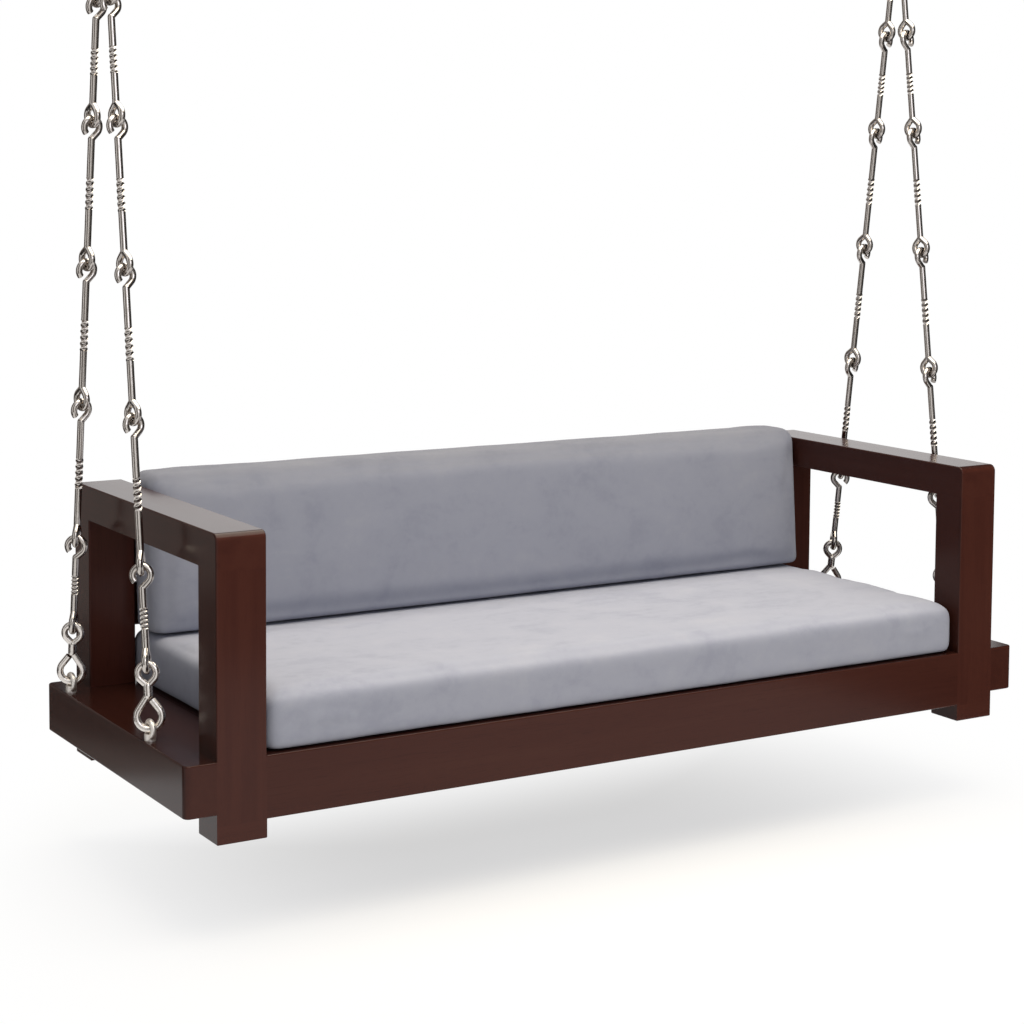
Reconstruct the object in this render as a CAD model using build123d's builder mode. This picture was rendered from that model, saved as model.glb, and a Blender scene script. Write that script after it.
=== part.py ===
from build123d import *
from math import acos, cos, pi, radians, sin, sqrt, tan

# A hanging swing seat: a hardwood platform with two square arms and two cushions,
# carried by four rod-link chains from a pair of ceiling hangers.
#
# Millimetres. +X is to the right and -Y to the front for someone facing the seat, +Z is
# up. The origin lies on the plane under the feet, at the middle of the seat in width and
# depth. The seat is modelled hanging still. Joined timbers meet face to face.

# ---------------------------------------------------------------- driving dimensions

# platform and arms
arm_span = 1800.0  # over the outer faces of the two arms
frame_depth = 700.0
end_overhang = 60.0  # how far the end boards reach past the arms
foot_height = 34.0
rail_height = 114.0
rail_thickness = 45.0
end_board_height = 94.0
end_corner_radius = 12.0
post_width = 95.0
post_depth = 80.0
arm_height = 398.0  # platform top to arm top
arm_thickness = 66.0
arm_end_radius = 14.0  # along the top edge at each end
timber_edge_radius = 3.0

# seat panel and what it lies on
panel_thickness = 12.0
panel_gap = 1.0  # to the arms at each end
batten_width = 25.0
batten_height = 30.0

# back boards, leaning with the back cushion
back_board_count = 3
back_board_height = 86.0
back_board_thickness = 16.0
back_board_pitch = 98.0
back_board_start = 4.0  # up the lean, above the seat cushion
back_lean = 5.0  # degrees from upright

# cushions
cushion_side_gap = 2.0  # to each arm
seat_cushion_inset = 4.0  # behind the face of the front rail
seat_cushion_height = 105.0
seat_cushion_rear_gap = 36.0  # ahead of the back of the frame
back_cushion_depth = 122.0
back_cushion_height = 318.0
back_cushion_rear_gap = 56.0  # rear face at its foot, ahead of the back of the frame
cushion_edge_radius = 20.0
soft_gap = 0.3

# eye bolts through the end boards
bolt_edge_distance = 15.0  # bolt axis to the outer face of the end board
bolt_spacing = 410.0  # front bolt to back bolt
hang_offset = 48.0  # bolts' middle and hangers to the back of the origin, over the centre of mass
bolt_diameter = 10.0
bolt_hole_clearance = 0.5  # radial
bolt_thread_below_nut = 4.0
recess_diameter = 22.0  # in the under side, round washer and nut
recess_depth = 22.0
washer_diameter = 20.0
washer_thickness = 2.0
nut_across_flats = 16.0
nut_height = 8.0
nut_clearance = 0.05  # radial, nut on thread
collar_diameter = 21.0
collar_height = 13.0
bolt_eye_radius = 14.5  # to the middle of the wire
bolt_eye_wire = 10.5
eye_seating = 13.0  # eye let into its collar

# hooks
hook_wire = 13.0
hook_bow_radius = 22.5  # to the middle of the wire
hook_drop = 1.95  # a hook turned across its eye sits this much lower in it
hook_neck_height = 61.0  # above the foot of the bow
hook_neck_diameter = 16.5
hook_ring_height = 101.0  # ring centre above the bolt's eye centre
hook_tip_length = 21.0  # straight part of the open side
hook_tip_lean = 35.5  # degrees inwards, squeezed nearly shut

# rod links: an eye bent at each end, turned a quarter turn from the one linked with it
ring_radius = 16.5  # to the middle of the wire
ring_wire = 12.5
eye_reach = 23.0  # from an eye's centre to the end of its rod
eye_opening = 50.0  # degrees from the rod round to the wire's end, at an eye that isn't closed
rod_diameter = 13.5
twist_side = 10.8  # square bar of the twisted middle
twist_share = 0.22  # of the link's pitch
twist_turns = 1.25
twist_step_count = 18
link_pitches = (175.0, 270.0, 270.0, 270.0, 222.0, 206.0)  # from the hook upwards
metal_gap = 0.3  # between linked rings
chain_turns = (-31.0, -31.0, 14.0, 14.0, 14.0, 14.0)  # degrees about the chain, hook upwards

# hangers and ceiling brackets
chain_pin_diameter = 12.0
ring_side_offset = 9.0  # each top ring from the middle of the chain pin
cheek_gap = 40.0  # between the inner faces of the hanger's cheeks
cheek_thickness = 6.0
cheek_width = 30.0
cheek_foot = 14.0  # below the chain pin
bridge_bottom = 20.0  # above the chain pin
bridge_height = 7.0
swing_pin_height = 45.0  # above the chain pin
swing_pin_diameter = 14.0
swing_bore_clearance = 0.08  # radial
boss_diameter = 30.0
boss_length = 24.0
neck_depth = 20.0
lug_gap = 0.3  # boss to each lug
lug_thickness = 7.0
lug_width = 32.0
pin_head_diameter = 22.0
pin_head_height = 5.0
plate_clearance = 30.0  # swing pin to the under side of the plate
plate_side = 110.0
plate_thickness = 8.0
plate_hole_spacing = 76.0
plate_hole_diameter = 11.0
plate_corner_radius = 10.0

# ---------------------------------------------------------------- derived places

arm_outer = arm_span / 2
arm_inner = arm_outer - post_width
arm_middle = (arm_outer + arm_inner) / 2
half_depth = frame_depth / 2
post_inner_y = half_depth - post_depth
rail_bottom = foot_height
platform_top = foot_height + rail_height
end_board_bottom = platform_top - end_board_height
arm_top = platform_top + arm_height
arm_under = arm_top - arm_thickness
panel_bottom = platform_top - panel_thickness
rail_inner_y = half_depth - rail_thickness

bolt_x = arm_outer + end_overhang - bolt_edge_distance
collar_top = platform_top + collar_height
bolt_eye_z = collar_top + bolt_eye_radius + bolt_eye_wire / 2 - eye_seating
recess_top = end_board_bottom + recess_depth
nut_bottom = recess_top - washer_thickness - nut_height
bolt_bottom = nut_bottom - bolt_thread_below_nut

# distances along a chain, measured from the centre of its bolt's eye
hook_foot = bolt_eye_radius - bolt_eye_wire / 2 - hook_wire / 2 - metal_gap - hook_drop
bow_centre = hook_foot + hook_bow_radius
neck_start = hook_foot + hook_neck_height
ring_step = 2 * ring_radius - ring_wire - metal_gap  # ring centre to linked ring centre
ring_on_pin = ring_radius - ring_wire / 2 - chain_pin_diameter / 2 - metal_gap
chain_length = hook_ring_height + sum(link_pitches) + ring_on_pin
chain_spread = bolt_spacing / 2 - ring_side_offset
chain_rise = sqrt(chain_length**2 - chain_spread**2)
chain_pin_z = bolt_eye_z + chain_rise
swing_pin_z = chain_pin_z + swing_pin_height
plate_bottom = swing_pin_z + plate_clearance
plate_top = plate_bottom + plate_thickness

LOW = (Align.CENTER, Align.CENTER, Align.MIN)
SIDES = {"left": -1, "right": 1}
ENDS = {"front": -1, "back": 1}


def save(builder, name):
    """Label a finished piece and write its STEP file."""
    builder.part.label = name
    export_step(builder.part, f"parts/{name}.step")


# ---------------------------------------------------------------- platform

for end, facing in ENDS.items():
    # long rail between the posts, its outer arrises eased
    with BuildPart() as long_rail:
        with Locations((0, facing * (half_depth - rail_thickness / 2), rail_bottom)):
            Box(2 * arm_inner, rail_thickness, rail_height, align=LOW)
        outer = long_rail.faces().sort_by(Axis.Y)[-1 if facing > 0 else 0]
        fillet(outer.edges().filter_by(Axis.X), timber_edge_radius)
    save(long_rail, f"{end}_rail")

for side, hand in SIDES.items():
    # end board past the arm, with rounded outer corners and two bolt holes recessed below
    with BuildPart() as end_board:
        with Locations((hand * (arm_outer + end_overhang / 2), 0, end_board_bottom)):
            Box(end_overhang, frame_depth, end_board_height, align=LOW)
        outer = end_board.faces().sort_by(Axis.X)[-1 if hand > 0 else 0]
        fillet(outer.edges().filter_by(Axis.Z), end_corner_radius)
        outer = end_board.faces().sort_by(Axis.X)[-1 if hand > 0 else 0]
        fillet(outer.edges().filter_by(Axis.Y), timber_edge_radius)
        with Locations((hand * bolt_x, hang_offset, platform_top)):
            with GridLocations(0, bolt_spacing, 1, 2):
                Hole(bolt_diameter / 2 + bolt_hole_clearance)
        with Locations((hand * bolt_x, hang_offset, end_board_bottom)):
            with GridLocations(0, bolt_spacing, 1, 2):
                Cylinder(recess_diameter / 2, recess_depth, align=LOW, mode=Mode.SUBTRACT)
    save(end_board, f"{side}_end_board")

    # rail under the arm, between its two posts
    with BuildPart() as side_rail:
        with Locations((hand * arm_middle, 0, end_board_bottom)):
            Box(post_width, 2 * post_inner_y, end_board_height, align=LOW)
    save(side_rail, f"{side}_side_rail")

    # arm rest along the top of the posts
    with BuildPart() as arm_rest:
        with Locations((hand * arm_middle, 0, arm_under)):
            Box(post_width, frame_depth, arm_thickness, align=LOW)
        fillet(arm_rest.faces().sort_by(Axis.Z)[-1].edges().filter_by(Axis.X), arm_end_radius)
        outline = arm_rest.faces().filter_by(Axis.X).edges()
        fillet(outline.filter_by_position(Axis.Z, arm_under + 1, arm_top), timber_edge_radius)
    save(arm_rest, f"{side}_arm_rest")

    for end, facing in ENDS.items():
        post_y = facing * (half_depth - post_depth / 2)
        # post from the foot to the arm rest, eased only above the platform
        with BuildPart() as post:
            with Locations((hand * arm_middle, post_y, platform_top)):
                Box(post_width, post_depth, arm_under - platform_top, align=LOW)
            fillet(post.edges().filter_by(Axis.Z), timber_edge_radius)
            with Locations((hand * arm_middle, post_y, rail_bottom)):
                Box(post_width, post_depth, rail_height, align=LOW)
        save(post, f"{end}_{side}_post")

# foot blocks under the posts
with BuildPart() as corner_feet:
    with GridLocations(2 * arm_middle, frame_depth - post_depth, 2, 2):
        Box(post_width, post_depth, foot_height, align=LOW)
    fillet(corner_feet.faces().group_by(Axis.Z)[0].edges(), timber_edge_radius)
save(corner_feet, "corner_feet")

# battens along the inner faces of the long rails
with BuildPart() as seat_battens:
    with Locations((0, 0, panel_bottom - batten_height)):
        with GridLocations(0, 2 * rail_inner_y - batten_width, 1, 2):
            Box(2 * arm_inner, batten_width, batten_height, align=LOW)
save(seat_battens, "seat_battens")

with BuildPart() as seat_panel:
    with Locations((0, 0, panel_bottom)):
        Box(2 * (arm_inner - panel_gap), 2 * rail_inner_y, panel_thickness, align=LOW)
save(seat_panel, "seat_panel")

# ---------------------------------------------------------------- back boards and cushions

cushion_width = 2 * (arm_inner - cushion_side_gap)
seat_front = -half_depth + seat_cushion_inset
seat_bottom = platform_top + soft_gap
seat_top = seat_bottom + seat_cushion_height
back_bottom = seat_top + soft_gap
back_rear = half_depth - back_cushion_rear_gap
back_front = back_rear - back_cushion_depth
back_shift = back_cushion_height * tan(radians(back_lean))

# the boards' front faces follow the rear face of the back cushion
lean_direction = (0, sin(radians(back_lean)), cos(radians(back_lean)))
board_plane = Plane(origin=(0, back_rear + soft_gap, back_bottom), x_dir=(1, 0, 0), z_dir=lean_direction)
with BuildPart(board_plane) as back_boards:
    for number in range(back_board_count):
        with Locations((0, 0, back_board_start + number * back_board_pitch)):
            Box(
                2 * arm_inner,
                back_board_thickness,
                back_board_height,
                align=(Align.CENTER, Align.MIN, Align.MIN),
            )
    fillet(back_boards.edges().filter_by(Axis.X), timber_edge_radius)
save(back_boards, "back_boards")

seat_depth = half_depth - seat_cushion_rear_gap - seat_front
with BuildPart() as seat_cushion:
    with Locations((0, seat_front, seat_bottom)):
        Box(
            cushion_width,
            seat_depth,
            seat_cushion_height,
            align=(Align.CENTER, Align.MIN, Align.MIN),
        )
    fillet(seat_cushion.edges(), cushion_edge_radius)
save(seat_cushion, "seat_cushion")

with BuildPart() as back_cushion:
    with BuildSketch(Plane.YZ.offset(-cushion_width / 2)):
        with BuildLine():
            Polyline(
                (back_front, back_bottom),
                (back_rear, back_bottom),
                (back_rear + back_shift, back_bottom + back_cushion_height),
                (back_front + back_shift, back_bottom + back_cushion_height),
                close=True,
            )
        make_face()
    extrude(amount=cushion_width)
    fillet(back_cushion.edges(), cushion_edge_radius)
save(back_cushion, "back_cushion")

# ---------------------------------------------------------------- eye bolts

for side, hand in SIDES.items():
    for end, facing in ENDS.items():
        bolt_y = hang_offset + facing * bolt_spacing / 2
        # the eye stands across the board's length, so the hook can rock in it
        with BuildPart() as eye_bolt:
            with Locations((hand * bolt_x, bolt_y, bolt_bottom)):
                Cylinder(bolt_diameter / 2, collar_top - bolt_bottom, align=LOW)
            with Locations((hand * bolt_x, bolt_y, platform_top)):
                Cylinder(collar_diameter / 2, collar_height, align=LOW)
            with Locations((hand * bolt_x, bolt_y, bolt_eye_z)):
                Torus(bolt_eye_radius, bolt_eye_wire / 2, rotation=(0, 90, 0))
        save(eye_bolt, f"{end}_{side}_eye_bolt")

# washers and nuts in the recesses
with BuildPart() as bolt_washers:
    with BuildSketch(Plane.XY.offset(recess_top - washer_thickness)):
        with Locations((0, hang_offset)):
            with GridLocations(2 * bolt_x, bolt_spacing, 2, 2):
                Circle(washer_diameter / 2)
                Circle(bolt_diameter / 2 + bolt_hole_clearance, mode=Mode.SUBTRACT)
    extrude(amount=washer_thickness)
save(bolt_washers, "bolt_washers")

with BuildPart() as bolt_nuts:
    with BuildSketch(Plane.XY.offset(nut_bottom)):
        with Locations((0, hang_offset)):
            with GridLocations(2 * bolt_x, bolt_spacing, 2, 2):
                RegularPolygon(nut_across_flats / 2, 6, major_radius=False)
                Circle(bolt_diameter / 2 + nut_clearance, mode=Mode.SUBTRACT)
    extrude(amount=nut_height)
save(bolt_nuts, "bolt_nuts")

# ---------------------------------------------------------------- hooks and rod links


def turned(plane, degrees):
    """Return a plane turned about its own Z."""
    angle = radians(degrees)
    x_dir = plane.x_dir * cos(angle) + plane.y_dir * sin(angle)
    return Plane(origin=plane.origin, x_dir=x_dir, z_dir=plane.z_dir)


def bend_eye(centre, across, rise, open_side=0):
    """Bend one eye of wire across its chain; its rod is above for a rise of 1, below for -1."""
    face = Plane(origin=centre.origin, x_dir=across, z_dir=across.cross(centre.z_dir))
    with BuildPart() as eye:
        for side in (-1, 1):
            opened = side == open_side
            start = radians(eye_opening) if opened else acos(ring_radius / eye_reach)
            rim = [
                (side * ring_radius * sin(angle), rise * ring_radius * cos(angle))
                for angle in (start, (start + pi) / 2, pi)
            ]
            with BuildLine(face) as wire:
                if not opened:
                    Line((0, rise * eye_reach), rim[0])
                ThreePointArc(*rim)
            with BuildSketch(Plane(origin=wire.line @ 0, z_dir=wire.line % 0)):
                Circle(ring_wire / 2)
            sweep(path=wire.line, transition=Transition.ROUND)
    return eye.part


def make_hook(chain, tip_side):
    """Build one hook with a closed eye on top; its bow lies in the chain plane's XZ."""
    bow = Plane(origin=chain.origin, x_dir=chain.x_dir, z_dir=-chain.y_dir)
    reach = neck_start - bow_centre
    touch_x = hook_bow_radius * sqrt(1 - (hook_bow_radius / reach) ** 2)
    touch_y = bow_centre + hook_bow_radius**2 / reach
    lean = radians(hook_tip_lean)
    turn_x = hook_bow_radius * cos(lean)
    turn_y = bow_centre + hook_bow_radius * sin(lean)
    tip_x = turn_x - hook_tip_length * sin(lean)
    tip_y = turn_y + hook_tip_length * cos(lean)
    with BuildPart() as hook:
        with BuildLine(bow) as wire:
            Line((0, neck_start), (-tip_side * touch_x, touch_y))
            ThreePointArc((-tip_side * touch_x, touch_y), (0, hook_foot), (tip_side * turn_x, turn_y))
            Line((tip_side * turn_x, turn_y), (tip_side * tip_x, tip_y))
        with BuildSketch(Plane(origin=wire.line @ 0, z_dir=wire.line % 0)):
            Circle(hook_wire / 2)
        sweep(path=wire.line, transition=Transition.ROUND)
        with Locations(chain.offset(neck_start)):
            Sphere(hook_neck_diameter / 2)
            Cylinder(hook_neck_diameter / 2, hook_ring_height - eye_reach - neck_start, align=LOW)
        with Locations(chain.offset(hook_ring_height - eye_reach)):
            Sphere(hook_neck_diameter / 2)
        add(bend_eye(chain.offset(hook_ring_height), chain.x_dir, -1))
    return hook


def make_link(chain, upper, lower_ring, pitch, open_side):
    """Build one rod link, with a twisted square middle and its upper eye in the upper frame."""
    upper_ring = lower_ring + pitch - ring_step
    twist_length = twist_share * pitch
    rod_low = lower_ring + eye_reach
    rod_high = upper_ring - eye_reach
    twist_low = (rod_low + rod_high - twist_length) / 2
    with BuildPart() as link:
        with Locations(chain.offset(rod_low)):
            Sphere(rod_diameter / 2)
            Cylinder(rod_diameter / 2, twist_low - rod_low, align=LOW)
        for step in range(twist_step_count + 1):
            share = step / twist_step_count
            with BuildSketch(chain.offset(twist_low + twist_length * share)):
                Rectangle(twist_side, twist_side, rotation=360 * twist_turns * share)
        loft(ruled=True)
        with Locations(chain.offset(twist_low + twist_length)):
            Cylinder(rod_diameter / 2, rod_high - twist_low - twist_length, align=LOW)
        with Locations(chain.offset(rod_high)):
            Sphere(rod_diameter / 2)
        add(bend_eye(chain.offset(lower_ring), chain.y_dir, 1))
        add(bend_eye(chain.offset(upper_ring), upper.x_dir, -1, open_side))
    return link


for side, hand in SIDES.items():
    for end, facing in ENDS.items():
        bolt_y = hang_offset + facing * bolt_spacing / 2
        eye_centre = (hand * bolt_x, bolt_y, bolt_eye_z)
        along = (0, -facing * chain_spread / chain_length, chain_rise / chain_length)
        # its Z runs up the chain, and its X lies square to the pin at the top
        chain = Plane(origin=eye_centre, x_dir=(1, 0, 0), z_dir=along)
        joints = [turned(chain, degrees) for degrees in chain_turns] + [chain]
        save(make_hook(joints[0], hand * facing), f"{end}_{side}_hook")
        top_ring = hook_ring_height
        for number, pitch in enumerate(link_pitches, start=1):
            lower, upper = joints[number - 1 : number + 1]
            # the eye on the pin is closed, and the others open away from the seat
            open_side = hand if number < len(link_pitches) else 0
            link = make_link(lower, upper, top_ring + ring_step, pitch, open_side)
            save(link, f"{end}_{side}_link_{number}")
            top_ring += pitch

# ---------------------------------------------------------------- hangers and brackets

pin_length = cheek_gap + 2 * cheek_thickness
lug_inner = boss_length / 2 + lug_gap
lug_outer = lug_inner + lug_thickness

for side, hand in SIDES.items():
    middle = (hand * bolt_x, hang_offset)
    # hanger: a bored boss on a neck, with two cheeks that hold the chain pin
    with BuildPart() as hanger:
        with Locations((*middle, swing_pin_z)):
            Cylinder(boss_diameter / 2, boss_length, rotation=(0, 90, 0))
        with Locations((*middle, chain_pin_z + bridge_bottom)):
            Box(boss_length, neck_depth, swing_pin_height - bridge_bottom, align=LOW)
            Box(cheek_width, pin_length, bridge_height, align=LOW)
        cheek_height = bridge_bottom + bridge_height + cheek_foot
        with Locations((*middle, chain_pin_z - cheek_foot)):
            with GridLocations(0, cheek_gap + cheek_thickness, 1, 2):
                Box(cheek_width, cheek_thickness, cheek_height, align=LOW)
        with Locations((*middle, swing_pin_z)):
            Cylinder(
                swing_pin_diameter / 2 + swing_bore_clearance,
                boss_length,
                rotation=(0, 90, 0),
                mode=Mode.SUBTRACT,
            )
        with Locations((*middle, chain_pin_z)):
            Cylinder(
                chain_pin_diameter / 2 + swing_bore_clearance,
                pin_length,
                rotation=(90, 0, 0),
                mode=Mode.SUBTRACT,
            )
    save(hanger, f"{side}_hanger")

    # chain pin along Y through both cheeks, with a flat head at each end
    with BuildPart() as chain_pin:
        with Locations((*middle, chain_pin_z)):
            Cylinder(chain_pin_diameter / 2, pin_length, rotation=(90, 0, 0))
            with Locations(
                (0, (pin_length + pin_head_height) / 2, 0),
                (0, -(pin_length + pin_head_height) / 2, 0),
            ):
                Cylinder(pin_head_diameter / 2, pin_head_height, rotation=(90, 0, 0))
    save(chain_pin, f"{side}_chain_pin")

    # ceiling bracket: a plate with two lugs for the swing pin
    with BuildPart() as bracket:
        with BuildSketch(Plane.XY.offset(plate_bottom)):
            with Locations(middle):
                RectangleRounded(plate_side, plate_side, plate_corner_radius)
                with GridLocations(plate_hole_spacing, plate_hole_spacing, 2, 2):
                    Circle(plate_hole_diameter / 2, mode=Mode.SUBTRACT)
        extrude(amount=plate_thickness)
        for lug_side in (-lug_outer, lug_inner):
            with BuildSketch(Plane.YZ.offset(hand * bolt_x + lug_side)):
                with Locations((hang_offset, swing_pin_z)):
                    Circle(lug_width / 2)
                    Rectangle(lug_width, plate_clearance, align=(Align.CENTER, Align.MIN))
                    Circle(swing_pin_diameter / 2 + swing_bore_clearance, mode=Mode.SUBTRACT)
            extrude(amount=lug_thickness)
    save(bracket, f"{side}_ceiling_bracket")

    # swing pin along X through both lugs, with a flat head at each end
    with BuildPart() as swing_pin:
        with Locations((*middle, swing_pin_z)):
            Cylinder(swing_pin_diameter / 2, 2 * lug_outer, rotation=(0, 90, 0))
            with Locations(
                (lug_outer + pin_head_height / 2, 0, 0),
                (-lug_outer - pin_head_height / 2, 0, 0),
            ):
                Cylinder(pin_head_diameter / 2, pin_head_height, rotation=(0, 90, 0))
    save(swing_pin, f"{side}_swing_pin")

print("platform top", platform_top, "arm top", arm_top)
print("chain pins at z", round(chain_pin_z, 2), "swing pins at z", round(swing_pin_z, 2))
print("bolt eye z", round(bolt_eye_z, 2), "plate top", round(plate_top, 2))
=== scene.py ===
"""Dresses the hanging swing seat: stained timber, brushed cushions and bright chains.

Lengths are metres. +X is to the right and -Y to the front for someone facing the seat,
+Z is up, and the origin lies on the plane under the feet.
"""

from __future__ import annotations

import logging
import math
from dataclasses import dataclass, field
from enum import Enum

import bpy
from mathutils import Matrix, Vector, noise

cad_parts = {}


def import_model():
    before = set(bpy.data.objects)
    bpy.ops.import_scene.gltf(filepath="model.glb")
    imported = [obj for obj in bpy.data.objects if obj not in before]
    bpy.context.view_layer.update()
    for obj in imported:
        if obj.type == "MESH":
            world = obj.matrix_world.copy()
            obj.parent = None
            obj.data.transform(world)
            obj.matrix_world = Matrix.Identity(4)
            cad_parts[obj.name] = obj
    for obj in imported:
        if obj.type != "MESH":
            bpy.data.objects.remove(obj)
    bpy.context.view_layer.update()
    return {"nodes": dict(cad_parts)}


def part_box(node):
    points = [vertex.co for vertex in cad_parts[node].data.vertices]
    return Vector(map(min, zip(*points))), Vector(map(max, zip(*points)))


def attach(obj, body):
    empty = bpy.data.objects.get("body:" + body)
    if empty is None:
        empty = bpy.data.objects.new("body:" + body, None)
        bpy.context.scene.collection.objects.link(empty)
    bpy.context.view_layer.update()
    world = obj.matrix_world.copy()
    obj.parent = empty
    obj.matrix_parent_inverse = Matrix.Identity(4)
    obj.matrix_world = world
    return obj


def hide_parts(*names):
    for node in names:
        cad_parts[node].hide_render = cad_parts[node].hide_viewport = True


LOG = logging.getLogger("swing_seat")

Colour = tuple[float, float, float]  # red, green and blue
Triple = tuple[float, float, float]  # along X, Y and Z
Pair = tuple[float, float]

BLACK: Colour = (0.0, 0.0, 0.0)
WHITE: Colour = (1.0, 1.0, 1.0)


# ---------------------------------------------------------------- shader sums


class Signal:
    """A value on its way through a material's nodes, with the usual sums on it."""

    def __init__(self, graph: ShaderGraph, socket: bpy.types.NodeSocket) -> None:
        """Keep the socket and the graph that it belongs to.

        Args:
            graph: the graph that new nodes go into.
            socket: the output that carries the value.
        """
        self.graph = graph
        self.socket = socket

    def _sum(self, operation: str, *terms: Signal | float) -> Signal:
        """Return the outcome of one Math node.

        Args:
            operation: the Math node's operation.
            terms: the values of its inputs, in order.

        Returns:
            The node's output.
        """
        return self.graph.add("ShaderNodeMath", {"operation": operation}, dict(enumerate(terms)))

    def __add__(self, other: Signal | float) -> Signal:
        """Return self + other."""
        return self._sum("ADD", self, other)

    def __radd__(self, other: float) -> Signal:
        """Return other + self."""
        return self._sum("ADD", other, self)

    def __sub__(self, other: Signal | float) -> Signal:
        """Return self - other."""
        return self._sum("SUBTRACT", self, other)

    def __rsub__(self, other: float) -> Signal:
        """Return other - self."""
        return self._sum("SUBTRACT", other, self)

    def __mul__(self, other: Signal | float) -> Signal:
        """Return self * other."""
        return self._sum("MULTIPLY", self, other)

    def __rmul__(self, other: float) -> Signal:
        """Return other * self."""
        return self._sum("MULTIPLY", other, self)

    def largest(self, other: Signal | float) -> Signal:
        """Return the larger of self and other."""
        return self._sum("MAXIMUM", self, other)

    def ramp(self, low: float, high: float) -> Signal:
        """Return a smooth step from 0 at low to 1 at high.

        Args:
            low: the value that gives 0.
            high: the value that gives 1.

        Returns:
            The stepped value.
        """
        settings = {"interpolation_type": "SMOOTHSTEP"}
        return self.graph.add("ShaderNodeMapRange", settings, {0: self, 1: low, 2: high})


class ShaderGraph:
    """The nodes of one material or world."""

    def __init__(self, tree: bpy.types.NodeTree) -> None:
        """Empty the tree.

        Args:
            tree: the node tree to build in.
        """
        self.tree = tree
        tree.nodes.clear()

    def add(
        self,
        kind: str,
        settings: dict[str, object] | None = None,
        inputs: dict[str | int, object] | None = None,
        output: str | int = 0,
    ) -> Signal:
        """Add one node.

        Args:
            kind: the node's type.
            settings: its own settings, set before its inputs.
            inputs: a value or a Signal for each input named or numbered.
            output: the output to return.

        Returns:
            The chosen output.
        """
        node = self.tree.nodes.new(kind)
        for name, value in (settings or {}).items():
            setattr(node, name, value)
        for name, value in (inputs or {}).items():
            if isinstance(value, Signal):
                self.tree.links.new(value.socket, node.inputs[name])
            else:
                node.inputs[name].default_value = value
        outlet = node.outputs[output] if len(node.outputs) else None
        return Signal(self, outlet)

    def blend(
        self, first: Signal | Colour, second: Signal | Colour, share: Signal | float
    ) -> Signal:
        """Return a blend of two colours.

        Args:
            first: the colour at a share of 0.
            second: the colour at a share of 1.
            share: how much of the second shows.

        Returns:
            The blended colour.
        """
        start, end = ((*c, 1.0) if isinstance(c, tuple) else c for c in (first, second))
        return self.add("ShaderNodeMix", {"data_type": "RGBA"}, {0: share, 6: start, 7: end}, 2)

    def noise(
        self, place: Signal, scale: float, detail: float, distortion: float = 0.0
    ) -> Signal:
        """Return a cloudy value about 0.5.

        Args:
            place: where on the surface.
            scale: features per metre.
            detail: how many octaves.
            distortion: how far it is stirred.

        Returns:
            The value, between 0 and 1.
        """
        inputs = {"Vector": place, "Scale": scale, "Detail": detail, "Distortion": distortion}
        return self.add("ShaderNodeTexNoise", {}, inputs)

    def place(
        self, stretch: Triple = (1.0, 1.0, 1.0), shift: Triple = (0.0, 0.0, 0.0)
    ) -> Signal:
        """Return the place on the surface, in the seat's own frame.

        Args:
            stretch: how many times finer a pattern is along each axis.
            shift: how far the pattern is moved.

        Returns:
            The stretched place.
        """
        coords = self.add("ShaderNodeTexCoord", {}, {}, "Object")
        inputs = {"Vector": coords, "Scale": stretch, "Location": shift}
        return self.add("ShaderNodeMapping", {}, inputs)

    def axis(self, vector: Signal, name: str) -> Signal:
        """Return one of a vector's three numbers.

        Args:
            vector: the vector.
            name: X, Y or Z.

        Returns:
            The number.
        """
        return self.add("ShaderNodeSeparateXYZ", {}, {"Vector": vector}, name)

    def facing(self, name: str) -> Signal:
        """Return how far the surface faces along one of the seat's axes.

        Args:
            name: X, Y or Z.

        Returns:
            A value from -1 to 1.
        """
        return self.axis(self.add("ShaderNodeTexCoord", {}, {}, "Normal"), name)

    def relief(self, height: Signal, strength: float, depth: float) -> Signal:
        """Return the normal of a surface with fine relief.

        Args:
            height: how high each place stands, between 0 and 1.
            strength: how much of the relief shows.
            depth: how far a height of 1 stands out.

        Returns:
            The normal.
        """
        inputs = {"Strength": strength, "Distance": depth, "Height": height}
        return self.add("ShaderNodeBump", {}, inputs)

    def surface(self, shader: Signal) -> None:
        """Connect the shader to the material's output."""
        self.add("ShaderNodeOutputMaterial", {}, {"Surface": shader})


# ---------------------------------------------------------------- finishes


class Grain(Enum):
    """The direction that a timber's grain runs in."""

    WIDTH = 0
    DEPTH = 1
    HEIGHT = 2


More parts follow.
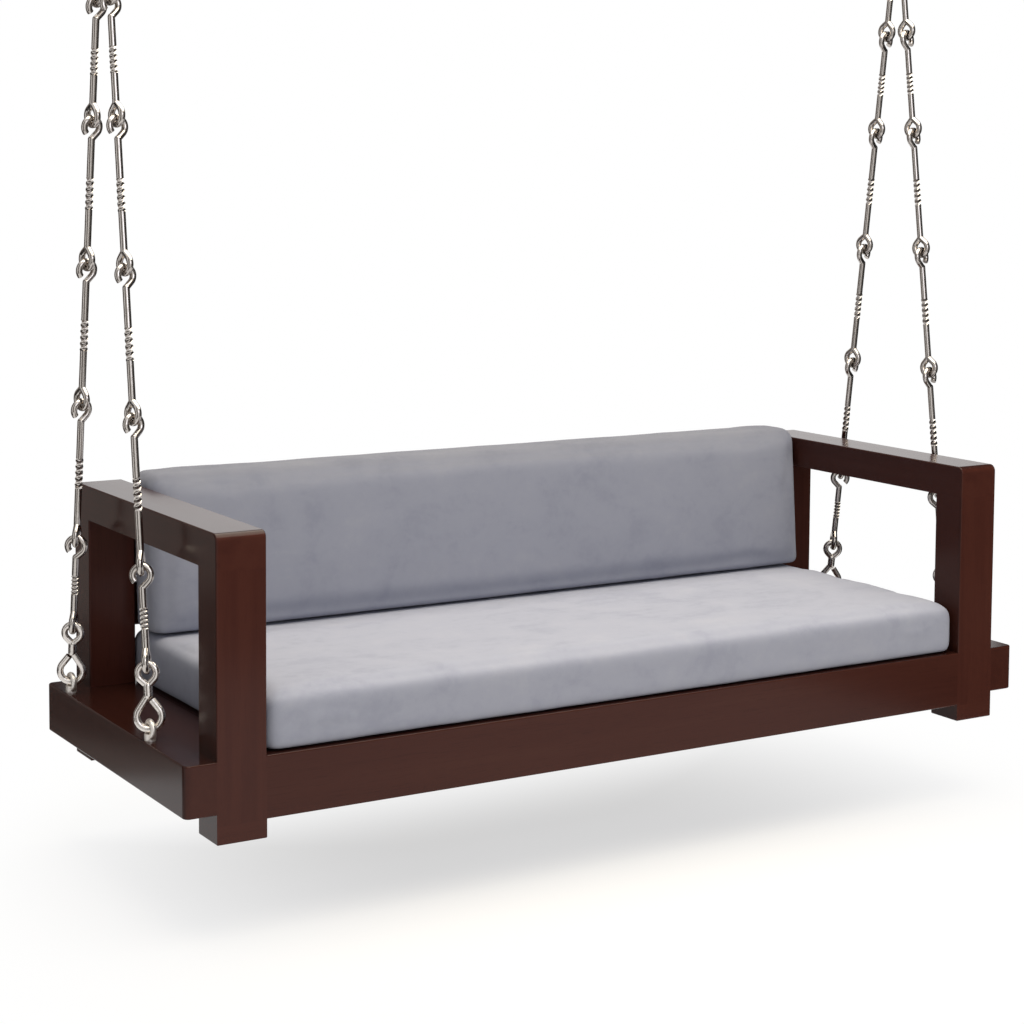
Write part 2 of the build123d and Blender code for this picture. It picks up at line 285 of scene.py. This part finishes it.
@dataclass(frozen=True)
class StainedTimber:
    """Hardwood with a dark red-brown stain under a satin lacquer, with painted shade on its sides
    and tops.
    """

    dark: Colour = (0.050, 0.0145, 0.0105)
    red: Colour = (0.063, 0.0185, 0.0128)
    warm: Colour = (0.073, 0.0235, 0.0160)
    pore: Colour = (0.032, 0.0100, 0.0076)
    gloss: float = 0.14  # roughness of the lacquer
    reflection: float = 0.17  # how much light the lacquer mirrors
    painted_side_shade: float = 0.5  # painted shade: how much darker the sides and tops are painted, for how the light falls on them
    # features per metre, along the grain and across it
    figure_grain: Pair = (0.55, 7.0)
    streak_grain: Pair = (1.6, 46.0)
    fibre_grain: Pair = (9.0, 420.0)
    pore_grain: Pair = (24.0, 900.0)
    cloud_scale: float = 2.3
    relief_strength: float = 0.02
    relief_depth: float = 0.0002

    def material(self, grain: Grain, shift: float, shade: float) -> bpy.types.Material:
        """Return the finish with its grain along one axis.

        Args:
            grain: the direction of the grain.
            shift: moves the figure, so that no two timbers match.
            shade: painted shade, how much darker this timber is painted, for the extra light that
                reaches it.

        Returns:
            The material.
        """
        name = f"stained_timber_{grain.name.lower()}_{round(shift * 10)}"
        material = bpy.data.materials.new(name)
        material.use_nodes = True
        graph = ShaderGraph(material.node_tree)

        def along(features: Pair) -> Signal:
            """Return the place stretched along the grain."""
            run, across = features
            stretch = [across] * 3
            stretch[grain.value] = run
            return graph.place(tuple(stretch), (shift, shift * 1.7, shift * 0.6))

        figure = graph.noise(along(self.figure_grain), 1.0, 5.0, 0.9)
        streak = graph.noise(along(self.streak_grain), 1.0, 4.0, 0.3)
        fibre = graph.noise(along(self.fibre_grain), 1.0, 2.0)
        cloud = graph.noise(graph.place(shift=(shift, 0.0, shift)), self.cloud_scale, 2.0)
        pores = graph.noise(along(self.pore_grain), 1.0, 1.0).ramp(0.60, 0.72)
        tone = figure * 0.55 + streak * 0.45
        colour = graph.blend(self.dark, self.red, tone.ramp(0.30, 0.56))
        colour = graph.blend(colour, self.warm, tone.ramp(0.52, 0.74) * 0.7)
        colour = graph.blend(colour, self.dark, cloud.ramp(0.45, 0.80) * 0.4)
        colour = graph.blend(colour, self.pore, pores * 0.35)
        # painted shade: the sides and tops are painted darker than the faces that look ahead, and
        # the rails and end boards darker than the rest, for how the light falls on them
        ahead = graph.facing("Y")
        side_shade_mask = 1.0 - (ahead * ahead).ramp(0.15, 0.85)
        colour = graph.blend(colour, BLACK, (side_shade_mask * self.painted_side_shade).largest(shade))
        roughness = self.gloss + 0.03 * streak + 0.04 * cloud
        height = fibre * 0.35 - pores * 0.5
        normal = graph.relief(height, self.relief_strength, self.relief_depth)
        graph.surface(
            graph.add(
                "ShaderNodeBsdfPrincipled",
                {},
                {
                    "Base Color": colour,
                    "Roughness": roughness,
                    "Normal": normal,
                    "Specular IOR Level": self.reflection,
                },
            )
        )
        return material


@dataclass(frozen=True)
class BrushedVelvet:
    """Short-pile blue-grey cloth whose pile lies this way and that in soft patches, with painted
    shade by which way a face looks.
    """

    deep: Colour = (0.326, 0.343, 0.424)
    middle: Colour = (0.372, 0.389, 0.470)
    light: Colour = (0.414, 0.427, 0.498)
    reflection: float = 0.15  # how much light the fibres mirror
    sheen: float = 0.1  # how much the pile glows at a glancing look
    sheen_tint: Colour = (1.0, 0.96, 0.94)
    # features per metre
    patch_scale: float = 5.5
    stroke_scale: Triple = (9.0, 26.0, 20.0)
    mottle_scale: float = 60.0
    pile_scale: float = 1400.0
    relief_strength: float = 0.25
    relief_depth: float = 0.0006

    def material(self, name: str, shade: float, top_painted_shade: float) -> bpy.types.Material:
        """Return the finish.

        Args:
            name: the material's name.
            shade: painted shade, how much of the cloth's colour shows on the faces that don't look
                up, for the light that falls there.
            top_painted_shade: the same painted shade, for the faces that look up.

        Returns:
            The material.
        """
        material = bpy.data.materials.new(name)
        material.use_nodes = True
        graph = ShaderGraph(material.node_tree)
        patches = graph.noise(graph.place(), self.patch_scale, 4.0, 1.4)
        strokes = graph.noise(graph.place(self.stroke_scale), 1.0, 4.0, 0.8)
        mottle = graph.noise(graph.place(), self.mottle_scale, 3.0, 0.4)
        pile = graph.noise(graph.place(), self.pile_scale, 2.0)
        tone = patches * 0.5 + strokes * 0.3 + mottle * 0.2
        colour = graph.blend(self.deep, self.middle, tone.ramp(0.34, 0.52))
        colour = graph.blend(colour, self.light, tone.ramp(0.50, 0.70) * 0.75)
        colour = graph.blend(colour, self.deep, pile.ramp(0.45, 0.75) * 0.30)
        # painted shade: faces that look up take crown and the others take shade, standing in for
        # how the light from above falls on them
        top_shade_mask = graph.facing("Z").ramp(0.1, 0.9)
        colour = graph.blend(BLACK, colour, shade + (top_painted_shade - shade) * top_shade_mask)
        height = pile * 0.6 + mottle * 0.4 + patches * 0.8
        normal = graph.relief(height, self.relief_strength, self.relief_depth)
        graph.surface(
            graph.add(
                "ShaderNodeBsdfPrincipled",
                {},
                {
                    "Base Color": colour,
                    "Roughness": 0.82 + 0.14 * strokes,
                    "Normal": normal,
                    "Specular IOR Level": self.reflection,
                    "Sheen Weight": self.sheen,
                    "Sheen Roughness": 0.4,
                    "Sheen Tint": (*self.sheen_tint, 1.0),
                },
            )
        )
        return material


@dataclass(frozen=True)
class BrightSteel:
    """Polished or brushed steel with fine wear."""

    name: str = "polished_steel"
    bright: Colour = (0.53, 0.490, 0.455)
    dull: Colour = (0.37, 0.340, 0.310)
    roughness: float = 0.11
    # features per metre
    wear_scale: float = 90.0
    scratch_scale: Triple = (700.0, 700.0, 90.0)
    relief_strength: float = 0.08
    relief_depth: float = 0.0002

    def material(self) -> bpy.types.Material:
        """Return the finish."""
        material = bpy.data.materials.new(self.name)
        material.use_nodes = True
        graph = ShaderGraph(material.node_tree)
        wear = graph.noise(graph.place(), self.wear_scale, 4.0, 0.6)
        scratch = graph.noise(graph.place(self.scratch_scale), 1.0, 2.0)
        colour = graph.blend(self.bright, self.dull, wear.ramp(0.50, 0.80) * 0.6)
        roughness = self.roughness + 0.14 * wear.ramp(0.45, 0.75) + 0.05 * scratch
        normal = graph.relief(scratch, self.relief_strength, self.relief_depth)
        graph.surface(
            graph.add(
                "ShaderNodeBsdfPrincipled",
                {},
                {
                    "Base Color": colour,
                    "Metallic": 1.0,
                    "Roughness": roughness,
                    "Normal": normal,
                },
            )
        )
        return material


CHAIN_STEEL = BrightSteel()
HOOK_STEEL = BrightSteel(
    name="polished_hook_steel",
    bright=(0.70, 0.655, 0.615),
    dull=(0.52, 0.48, 0.45),
    roughness=0.20,
)
BOLT_STEEL = BrightSteel(
    name="satin_bolt_steel",
    bright=(0.84, 0.79, 0.74),
    dull=(0.66, 0.62, 0.58),
    roughness=0.42,
)
HANGER_STEEL = BrightSteel(
    name="brushed_hanger_steel",
    bright=(0.58, 0.56, 0.54),
    dull=(0.40, 0.38, 0.36),
    roughness=0.30,
)


# ---------------------------------------------------------------- timber and steel pieces


@dataclass
class BuiltPieces:
    """The timber and steel pieces, which keep their shape, and the finish of each."""

    nodes: dict[str, bpy.types.Object]
    timber: StainedTimber = field(default_factory=StainedTimber)
    figure_step: float = 1.3  # how far the figure moves from one timber to the next
    lower_painted_shade: float = 0.14  # painted shade: how much darker the rails and end boards are painted, for the extra light that reaches them

    def grain_of(self, name: str) -> Grain:
        """Return the direction of a timber's grain.

        Args:
            name: the timber's node.

        Returns:
            The direction.
        """
        if "post" in name:
            return Grain.HEIGHT
        if any(word in name for word in ("side_rail", "end_board", "arm_rest")):
            return Grain.DEPTH
        return Grain.WIDTH

    def dress(self) -> None:
        """Give every timber and steel piece its finish."""
        steels = {
            "hook": HOOK_STEEL.material(),
            "link": CHAIN_STEEL.material(),
            "bolt": BOLT_STEEL.material(),
            "hanger": HANGER_STEEL.material(),
        }
        steels["bracket"] = steels["pin"] = steels["hanger"]
        shift = 0.0
        for name, piece in sorted(self.nodes.items()):
            if "cushion" in name:
                continue
            finish = next((steel for word, steel in steels.items() if word in name), None)
            if finish is None:
                shift += self.figure_step
                # painted shade: the rails and end boards are painted darker than the other timbers
                low = any(word in name for word in ("rail", "end_board"))
                shade = self.lower_painted_shade if low else 0.0
                finish = self.timber.material(self.grain_of(name), shift, shade)
            piece.data.materials.clear()
            piece.data.materials.append(finish)
            LOG.info("dressed %s in %s", name, finish.name)


# ---------------------------------------------------------------- cushions


@dataclass
class Cushion:
    """A boxed foam cushion in a fitted cover, leaning back or lying flat."""

    name: str
    node: str
    lean: float = 0.0  # degrees back from upright
    pressed_by: str = ""  # the cushion that stands on its back part
    corner: float = 0.026  # radius of the edges
    sole: float = 0.011  # radius along the edges of the under side
    voxel: float = 0.010  # side of the cover's even divisions
    inset: float = 0.002  # how much smaller than the foam the cover starts
    swell: float = 0.008  # furthest that the filling pushes the cover
    give: float = 0.0005  # furthest that the cover sinks inwards
    slip: float = 0.0015  # furthest that the cover moves along itself
    held_height: float = 0.045  # above its foot, up to which the swell grows
    pressed_fade: float = 0.09  # in front of the other cushion, over which the swell fades
    pressed_facing: float = 0.3  # how far up a face looks at least to be pressed
    side_room: float = 0.002  # furthest that the cover swells past the foam at its ends
    ripples: tuple[Pair, Pair] = ((7.0, 0.0012), (22.0, 0.0005))  # per metre, and height
    pressure: float = 1.2
    frames: int = 20  # time that the filling gets to press
    fill: float = 0.9

    def _box(self) -> bpy.types.Object:
        """Return the plain leaning box that the cover starts from."""
        low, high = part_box(self.node)
        size = high - low
        set_back = size.z * math.tan(math.radians(self.lean)) if self.lean else 0.0
        depth = size.y - set_back
        middle = (low + high) / 2
        bpy.ops.object.select_all(action="DESELECT")
        bpy.ops.mesh.primitive_cube_add(size=1.0, location=(middle.x, low.y + depth / 2, middle.z))
        box = bpy.context.object
        box.name = self.name
        box.scale = (size.x - 2 * self.inset, depth - 2 * self.inset, size.z - 2 * self.inset)
        bpy.ops.object.transform_apply(location=True, rotation=True, scale=True)
        for corner in box.data.vertices:
            rise = (corner.co.z - low.z) / size.z
            corner.co.y += set_back * rise
        return box

    def _round(self, box: bpy.types.Object) -> None:
        """Round the box's edges and divide it evenly.

        Args:
            box: the plain box.
        """
        foot = min(v.co.z for v in box.data.vertices) + 1e-5
        for lower, radius in ((False, self.corner), (True, self.sole)):
            bpy.ops.object.mode_set(mode="EDIT")
            bpy.ops.mesh.select_mode(type="EDGE")
            bpy.ops.mesh.select_all(action="DESELECT")
            bpy.ops.object.mode_set(mode="OBJECT")
            for edge in box.data.edges:
                edge.select = all(box.data.vertices[v].co.z < foot for v in edge.vertices) == lower
            bpy.ops.object.mode_set(mode="EDIT")
            bpy.ops.mesh.bevel(offset=radius, segments=5, affect="EDGES")
            bpy.ops.object.mode_set(mode="OBJECT")
        box.data.remesh_voxel_size = self.voxel
        bpy.ops.object.voxel_remesh()
        bpy.ops.object.mode_set(mode="EDIT")
        bpy.ops.mesh.select_all(action="SELECT")
        bpy.ops.mesh.vertices_smooth(factor=0.5, repeat=3)
        bpy.ops.object.mode_set(mode="OBJECT")

    def _fill(self, cover: bpy.types.Object) -> None:
        """Press the cover outwards as its filling does, no further than the swell.

        Args:
            cover: the evenly divided cover.
        """
        start = [(v.co.copy(), v.normal.copy()) for v in cover.data.vertices]
        cloth = cover.modifiers.new("filling", "CLOTH")
        cloth.settings.quality = 5
        cloth.settings.mass = 0.3
        cloth.settings.tension_stiffness = 25
        cloth.settings.compression_stiffness = 25
        cloth.settings.shear_stiffness = 8
        cloth.settings.bending_stiffness = 0.6
        cloth.settings.use_pressure = True
        cloth.settings.uniform_pressure_force = self.pressure
        cloth.settings.effector_weights.gravity = 0.0
        cloth.point_cache.frame_start = 1
        cloth.point_cache.frame_end = self.frames
        scene = bpy.context.scene
        for step in range(1, self.frames + 1):
            scene.frame_set(step)
        bpy.ops.object.modifier_apply(modifier=cloth.name)
        scene.frame_set(1)
        low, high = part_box(self.node)
        pressed_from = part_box(self.pressed_by)[0].y if self.pressed_by else math.inf
        furthest = 0.0
        for vertex, (origin, outward) in zip(cover.data.vertices, start):
            move = vertex.co - origin
            rise = move.dot(outward)
            along = move - outward * rise
            furthest = max(furthest, rise)
            if rise > 0.0:
                rise = self.swell * math.tanh(rise / self.swell)
            else:
                rise = max(rise, -self.give)
            # held down at its foot and under the other cushion
            rise *= min(1.0, (origin.z - low.z) / self.held_height)
            if outward.z > self.pressed_facing:
                rise *= min(1.0, max(0.0, (pressed_from - origin.y) / self.pressed_fade))
            along *= min(1.0, self.slip / max(along.length, 1e-9))
            ripple = sum(size * noise.noise(origin * scale) for scale, size in self.ripples)
            vertex.co = origin + outward * (rise + ripple) + along
            vertex.co.z = max(vertex.co.z, low.z)
            vertex.co.x = max(vertex.co.x, low.x - self.side_room)
            vertex.co.x = min(vertex.co.x, high.x + self.side_room)
        LOG.info("%s: the filling pushed the cover up to %.1f mm", self.name, furthest * 1000)

    def build(self, finish: bpy.types.Material) -> bpy.types.Object:
        """Build the cushion in the place of its solid.

        Args:
            finish: the cover's cloth.

        Returns:
            The finished cushion.
        """
        cover = self._box()
        self._round(cover)
        self._fill(cover)
        smooth = cover.modifiers.new("cover", "SUBSURF")
        smooth.levels = smooth.render_levels = 1
        bpy.ops.object.modifier_apply(modifier=smooth.name)
        bpy.ops.object.shade_smooth()
        cover.data.materials.append(finish)
        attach(cover, "seat")
        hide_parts(self.node)
        LOG.info("built %s with %d faces", self.name, len(cover.data.polygons))
        return cover


# ---------------------------------------------------------------- studio


@dataclass
class Camera:
    """Where the picture is taken from."""

    place: Triple = (-2.3833, -3.7787, 1.1898)
    turn: float = 31.157  # degrees from straight ahead towards +X
    dip: float = 4.469  # degrees below level
    roll: float = 0.378  # degrees
    lens: float = 76.81
    rise: float = -0.1777

    def build(self) -> None:
        """Make the camera and use it for the scene."""
        turn, dip, roll = (math.radians(a) for a in (self.turn, self.dip, self.roll))
        ahead = Vector(
            (math.sin(turn) * math.cos(dip), math.cos(turn) * math.cos(dip), -math.sin(dip))
        )
        level = Vector((math.cos(turn), -math.sin(turn), 0.0))
        above = level.cross(ahead)
        right = level * math.cos(roll) + above * math.sin(roll)
        up = above * math.cos(roll) - level * math.sin(roll)
        lens = bpy.data.cameras.new("camera")
        lens.lens = self.lens
        lens.sensor_width = 36.0
        lens.shift_y = self.rise
        lens.clip_end = 100.0
        camera = bpy.data.objects.new("camera", lens)
        bpy.context.scene.collection.objects.link(camera)
        turned = Matrix((right, up, -ahead)).transposed().to_4x4()
        camera.matrix_world = Matrix.Translation(self.place) @ turned
        bpy.context.scene.camera = camera


@dataclass(frozen=True)
class SoftLamp:
    """One soft lamp that faces the seat."""

    name: str
    place: Triple
    size: Pair
    watts: Colour  # its power in red, green and blue
    aim: Triple = (0.0, 0.0, 0.3)

    def build(self) -> None:
        """Hang the lamp."""
        light = bpy.data.lights.new(self.name, "AREA")
        light.energy = max(self.watts)
        light.color = [share / light.energy for share in self.watts]
        light.shape = "RECTANGLE"
        light.size, light.size_y = self.size
        lamp = bpy.data.objects.new(self.name, light)
        bpy.context.scene.collection.objects.link(lamp)
        facing = (Vector(self.aim) - Vector(self.place)).to_track_quat("-Z", "Y")
        lamp.matrix_world = Matrix.Translation(self.place) @ facing.to_matrix().to_4x4()


@dataclass(frozen=True)
class Card:
    """One card that stands on a foot along the floor and only shows in reflections."""

    name: str
    bearing: float  # degrees round from the camera's side, to its right
    near: float  # where its foot starts
    far: float  # where its foot ends and the card stands up
    width: float
    shade: Colour = (0.03, 0.03, 0.03)
    height: float = 4.6

    def build(self, level: float) -> None:
        """Stand the card.

        Args:
            level: the height of its foot.
        """
        material = bpy.data.materials.new(self.name)
        material.use_nodes = True
        graph = ShaderGraph(material.node_tree)
        glow = {"Color": (*self.shade, 1.0), "Strength": 1.0}
        graph.surface(graph.add("ShaderNodeEmission", {}, glow))
        bpy.ops.object.select_all(action="DESELECT")
        bpy.ops.mesh.primitive_plane_add(size=1.0, location=(0.0, 0.0, 0.0))
        card = bpy.context.object
        card.name = self.name
        for vertex in card.data.vertices:
            vertex.co.x *= self.width
            vertex.co.y = -self.near if vertex.co.y > 0.0 else -self.far
            vertex.co.z = level
        bpy.ops.object.mode_set(mode="EDIT")
        bpy.ops.mesh.select_all(action="DESELECT")
        bpy.ops.object.mode_set(mode="OBJECT")
        corners = card.data.vertices
        for edge in card.data.edges:
            edge.select = all(corners[v].co.y < -self.far + 1e-4 for v in edge.vertices)
        bpy.ops.object.mode_set(mode="EDIT")
        bpy.ops.mesh.select_mode(type="EDGE")
        rise = {"value": (0.0, 0.0, self.height)}
        bpy.ops.mesh.extrude_region_move(TRANSFORM_OT_translate=rise)
        bpy.ops.object.mode_set(mode="OBJECT")
        turn = math.radians(self.bearing - Camera.turn)
        card.data.transform(Matrix.Rotation(turn, 4, "Z"))
        card.data.materials.append(material)
        for ray in ("camera", "diffuse", "transmission", "volume_scatter", "shadow"):
            setattr(card, f"visible_{ray}", False)


LAMPS = (
    SoftLamp(
        name="lamp_above",
        place=(0.2, -0.3, 3.4),
        size=(3.6, 3.8),
        watts=(181.0, 165.0, 136.0),
    ),
    SoftLamp(
        name="lamp_front",
        place=(-0.6, -3.9, 2.2),
        size=(2.2, 1.6),
        watts=(19.0, 19.5, 22.0),
    ),
)
CARDS = (
    Card(
        name="card_left_front",
        bearing=-32.0,
        near=2.4,
        far=4.4,
        width=2.6,
        shade=(0.20, 0.185, 0.175),
    ),
    Card(
        name="card_right",
        bearing=53.0,
        near=2.0,
        far=4.2,
        width=3.2,
        shade=(0.17, 0.158, 0.15),
    ),
    Card(name="card_right_back", bearing=116.0, near=1.3, far=4.2, width=7.6),
    Card(name="card_left", bearing=-88.0, near=1.6, far=4.3, width=2.4),
    Card(
        name="card_left_back",
        bearing=-119.0,
        near=1.2,
        far=4.2,
        width=3.2,
        shade=(0.36, 0.32, 0.295),
    ),
    Card(name="card_left_far", bearing=-146.0, near=1.6, far=4.4, width=1.6),
)


@dataclass
class Studio:
    """A white floor under the hanging seat, with soft lamps and dark cards for the metal."""

    floor_level: float = -0.17
    floor_radius: float = 14.0
    floor_colour: Colour = (0.88, 0.88, 0.88)
    floor_glow: float = 0.61  # least share of the floor that shows plain white
    shadow_middle: Pair = (-0.1, -0.25)
    shadow_reach: Pair = (0.3, 1.4)  # from its middle, where it starts and ends to fade
    shadow_back: Pair = (-0.08, 0.38)  # in depth, the same
    back_fade: float = 0.75  # how far it fades behind the seat
    world_light: float = 0.38
    left_light: float = 0.85  # how much of it still comes from the left
    card_clearance: float = 0.004  # foot of a card above the floor

    def _seen_directly(self, graph: ShaderGraph) -> Signal:
        """Return 1 for what the camera, a mirror or glass sees, and 0 for light."""
        camera = graph.add("ShaderNodeLightPath", {}, {}, "Is Camera Ray")
        glossy = graph.add("ShaderNodeLightPath", {}, {}, "Is Glossy Ray")
        through = graph.add("ShaderNodeLightPath", {}, {}, "Is Transmission Ray")
        return camera.largest(glossy).largest(through)

    def _world(self) -> None:
        """Make the world white to look at and gentler as light."""
        world = bpy.data.worlds.new("studio")
        world.use_nodes = True
        bpy.context.scene.world = world
        graph = ShaderGraph(world.node_tree)
        ahead = graph.add("ShaderNodeTexCoord", {}, {}, "Generated")
        rightward = graph.axis(ahead, "X").ramp(-0.9, 0.3)
        light = self.world_light * (self.left_light + (1.0 - self.left_light) * rightward)
        seen = self._seen_directly(graph)
        inputs = {"Color": (*WHITE, 1.0), "Strength": light * (1.0 - seen) + seen}
        sky = graph.add("ShaderNodeBackground", {}, inputs)
        graph.add("ShaderNodeOutputWorld", {}, {"Surface": sky})

    def _floor(self) -> None:
        """Lay the floor, which fades to the white of the world away from the seat."""
        bpy.ops.object.select_all(action="DESELECT")
        bpy.ops.mesh.primitive_circle_add(
            vertices=96,
            radius=self.floor_radius,
            fill_type="NGON",
            location=(0.0, 0.0, self.floor_level),
        )
        floor = bpy.context.object
        floor.name = "floor"
        bpy.ops.object.transform_apply(location=True, rotation=False, scale=False)
        material = bpy.data.materials.new("floor")
        material.use_nodes = True
        graph = ShaderGraph(material.node_tree)
        place = graph.place(shift=(-self.shadow_middle[0], -self.shadow_middle[1], 0.0))
        distance = graph.add("ShaderNodeVectorMath", {"operation": "LENGTH"}, {0: place}, "Value")
        behind = graph.axis(graph.place(), "Y").ramp(*self.shadow_back)
        fade = (self.back_fade * behind).largest(distance.ramp(*self.shadow_reach))
        share = (self.floor_glow + (1.0 - self.floor_glow) * fade) * self._seen_directly(graph)
        matt = graph.add("ShaderNodeBsdfDiffuse", {}, {"Color": (*self.floor_colour, 1.0)})
        glow = graph.add("ShaderNodeEmission", {}, {"Color": (*WHITE, 1.0), "Strength": 1.0})
        graph.surface(graph.add("ShaderNodeMixShader", {}, {0: share, 1: matt, 2: glow}))
        floor.data.materials.append(material)

    def build(self) -> None:
        """Set up the world, the floor, the lamps and the cards."""
        self._world()
        self._floor()
        for lamp in LAMPS:
            lamp.build()
        for card in CARDS:
            card.build(self.floor_level + self.card_clearance)


def main() -> None:
    """Build the dressed seat and its studio."""
    logging.basicConfig(level=logging.INFO, format="%(name)s: %(message)s")
    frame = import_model()
    bpy.context.scene.view_settings.view_transform = "Standard"
    Camera().build()
    Studio().build()
    BuiltPieces(frame["nodes"]).dress()
    velvet = BrushedVelvet()
    # painted light and shade: the seat pad's copy is lighter on its top, and the back pad's copy
    # is darker all over and darker still on its top, for how the light falls on each
    flat = velvet.material("velvet_flat_painted_shade", shade=0.87, top_painted_shade=0.97)
    Cushion("seat_pad", "seat_cushion", pressed_by="back_cushion").build(flat)
    upright = velvet.material("velvet_upright", shade=0.77, top_painted_shade=0.53)
    Cushion("back_pad", "back_cushion", lean=5.0).build(upright)


if __name__ == "__main__":
    main()
